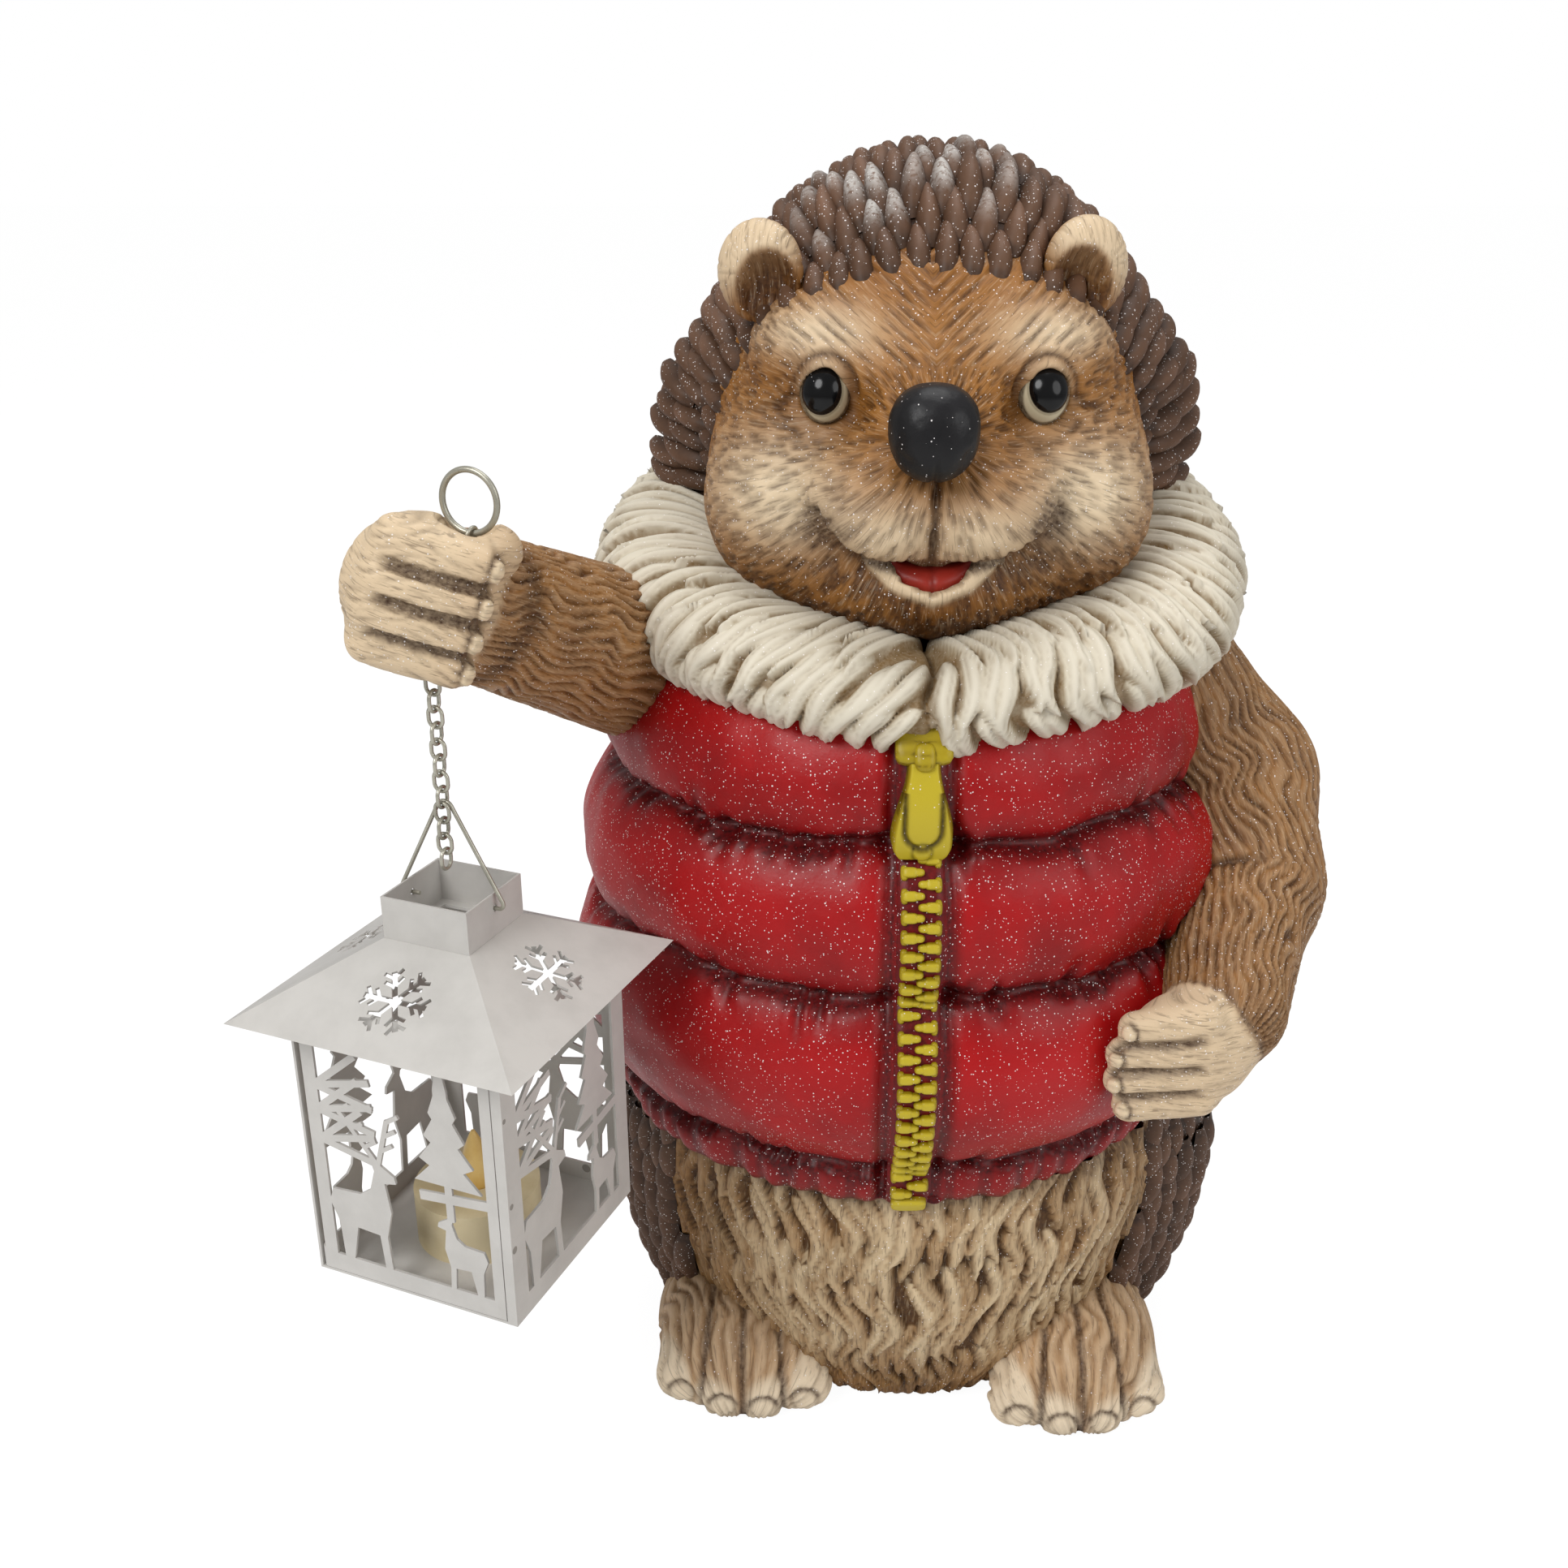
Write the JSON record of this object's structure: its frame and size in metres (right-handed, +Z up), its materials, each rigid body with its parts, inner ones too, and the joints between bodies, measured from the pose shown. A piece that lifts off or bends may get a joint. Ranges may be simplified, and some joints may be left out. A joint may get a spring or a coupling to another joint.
{
  "type": "hedgehog figurine with lantern",
  "caption": "Standing hedgehog figurine in a quilted zip vest with a fur collar, holding a hinged-door tea-light lantern on a chain in its raised paw.",
  "frame": {"origin": "on the ground under the middle of the torso, at the flat foot of the belly", "axes": "+Z up; the figure faces -Y; +X is to the viewer's right, the figure's own left"},
  "size_m": [0.3394, 0.275, 0.4243],
  "materials": {
    "fur_brown": "carved and painted brown with dark grooves and cream highlights",
    "fur_tan": "carved and painted tan with dark grooves",
    "quill_brown": "carved and painted dark brown, dry-brushed",
    "collar_white": "carved and painted off-white with glitter",
    "vest_red": "painted red with fine glitter",
    "zip_gold": "painted mustard gold, satin",
    "eye_black": "gloss black pupil with a cream white",
    "nose_black": "satin black",
    "mouth_red": "painted red",
    "chain_metal": "painted grey-beige wire",
    "lantern_white": "powder-coated off-white sheet",
    "candle_cream": "cream plastic",
    "flame_warm": "translucent warm white plastic",
    "lamp_clear": "clear epoxy",
    "cell_steel": "plain steel",
    "switch_black": "plain black"
  },
  "bodies": {
    "figure": {"belly": "fur_tan", "vest": "vest_red", "zip_tape": "zip_gold", "zip_slider": "zip_gold", "collar": "collar_white", "head": "fur_brown", "head_quills": "quill_brown", "back_quills": "quill_brown", "foot_right": "fur_tan", "foot_left": "fur_tan", "arm_raised": "fur_brown", "arm_resting": "fur_brown", "ear_right": "fur_brown", "ear_left": "fur_brown", "eye_right": "eye_black", "eye_left": "eye_black", "nose": "nose_black", "mouth": "mouth_red", "chain_in_paw": "chain_metal"},
    "ring": {"pull_ring": "chain_metal"},
    "link_01": {"chain_link_01": "chain_metal"},
    "link_02": {"chain_link_02": "chain_metal"},
    "link_03": {"chain_link_03": "chain_metal"},
    "link_04": {"chain_link_04": "chain_metal"},
    "link_05": {"chain_link_05": "chain_metal"},
    "link_06": {"chain_link_06": "chain_metal"},
    "link_07": {"chain_link_07": "chain_metal"},
    "link_08": {"chain_link_08": "chain_metal"},
    "link_09": {"chain_link_09": "chain_metal"},
    "link_10": {"chain_link_10": "chain_metal"},
    "link_11": {"chain_link_11": "chain_metal"},
    "link_12": {"chain_link_12": "chain_metal"},
    "bail": {"bail": "chain_metal"},
    "lantern": {"lantern_cap": "lantern_white", "lantern_roof": "lantern_white", "lantern_lintel": "lantern_white", "lantern_right_panel": "lantern_white", "lantern_back_panel": "lantern_white", "lantern_left_panel": "lantern_white", "lantern_floor": "lantern_white", "door_hinge_pin": "lantern_white"},
    "door": {"lantern_door": "lantern_white"},
    "tealight": {"tealight_cup": "candle_cream", "tealight_flame": "flame_warm", "tealight_lamp": "lamp_clear", "tealight_cell": "cell_steel", "tealight_lid": "candle_cream"},
    "switch": {"tealight_switch": "switch_black"}
  },
  "joints": [
    {"name": "ring_flop", "type": "hinge", "parent": "figure", "child": "ring", "pos_m": [-0.11989, -0.10804, 0.32729], "axis": [0.9225, -0.3859, 0], "range_deg": [-20, 20]},
    {"name": "link_01_swing", "type": "hinge", "parent": "figure", "child": "link_01", "pos_m": [-0.13342, -0.10804, 0.288], "axis": [0.3478, 0.9299, -0.1197], "range_deg": [0, 10]},
    {"name": "link_02_swing", "type": "hinge", "parent": "link_01", "child": "link_02", "pos_m": [-0.13342, -0.10804, 0.28335], "axis": [-0.9225, 0.3859, 0], "range_deg": [0, 10]},
    {"name": "link_03_swing", "type": "hinge", "parent": "link_02", "child": "link_03", "pos_m": [-0.13342, -0.10804, 0.2787], "axis": [0.3859, 0.9225, 0], "range_deg": [0, 10]},
    {"name": "link_04_twist", "type": "hinge", "parent": "link_03", "child": "link_04", "pos_m": [-0.13342, -0.10804, 0.27405], "axis": [0, 0, 1], "range_deg": [-35, 0]},
    {"name": "link_05_swing", "type": "hinge", "parent": "link_04", "child": "link_05", "pos_m": [-0.13342, -0.10804, 0.2694], "axis": [0.3859, 0.9225, 0], "range_deg": [0, 10]},
    {"name": "link_06_swing", "type": "hinge", "parent": "link_05", "child": "link_06", "pos_m": [-0.13342, -0.10804, 0.26475], "axis": [-0.9225, 0.3859, 0], "range_deg": [0, 10]},
    {"name": "link_07_swing", "type": "hinge", "parent": "link_06", "child": "link_07", "pos_m": [-0.13342, -0.10804, 0.2601], "axis": [0.3859, 0.9225, 0], "range_deg": [0, 10]},
    {"name": "link_08_swing", "type": "hinge", "parent": "link_07", "child": "link_08", "pos_m": [-0.13342, -0.10804, 0.25545], "axis": [-0.9225, 0.3859, 0], "range_deg": [0, 10]},
    {"name": "link_09_swing", "type": "hinge", "parent": "link_08", "child": "link_09", "pos_m": [-0.13342, -0.10804, 0.2508], "axis": [0.3859, 0.9225, 0], "range_deg": [-15, 15]},
    {"name": "link_10_swing", "type": "hinge", "parent": "link_09", "child": "link_10", "pos_m": [-0.13367, -0.10864, 0.24641], "axis": [0.9225, -0.3859, 0], "range_deg": [-15, 15]},
    {"name": "link_11_swing", "type": "hinge", "parent": "link_10", "child": "link_11", "pos_m": [-0.13367, -0.10864, 0.24176], "axis": [0.3859, 0.9225, 0], "range_deg": [-15, 15]},
    {"name": "link_12_swing", "type": "hinge", "parent": "link_11", "child": "link_12", "pos_m": [-0.13367, -0.10864, 0.23711], "axis": [0.9225, -0.3859, 0], "range_deg": [-15, 15]},
    {"name": "bail_swing", "type": "hinge", "parent": "link_08", "child": "bail", "pos_m": [-0.13342, -0.10804, 0.2508], "axis": [0.3859, 0.9225, 0], "range_deg": [0, 12]},
    {"name": "lantern_swing", "type": "hinge", "parent": "bail", "child": "lantern", "pos_m": [-0.13317, -0.10744, 0.22214], "axis": [-0.9225, 0.3859, 0], "range_deg": [0, 30]},
    {"name": "door_open", "type": "hinge", "parent": "lantern", "child": "door", "pos_m": [-0.17467, -0.1253, 0.11014], "axis": [0, 0, -1], "range_deg": [0, 95]},
    {"name": "tealight_lift", "type": "slide", "parent": "lantern", "child": "tealight", "axis": [0, 0, 1], "range_m": [0, 0.02]},
    {"name": "switch_slide", "type": "slide", "parent": "tealight", "child": "switch", "axis": [0.3859, 0.9225, 0], "range_m": [0, 0.002]}
  ]
}
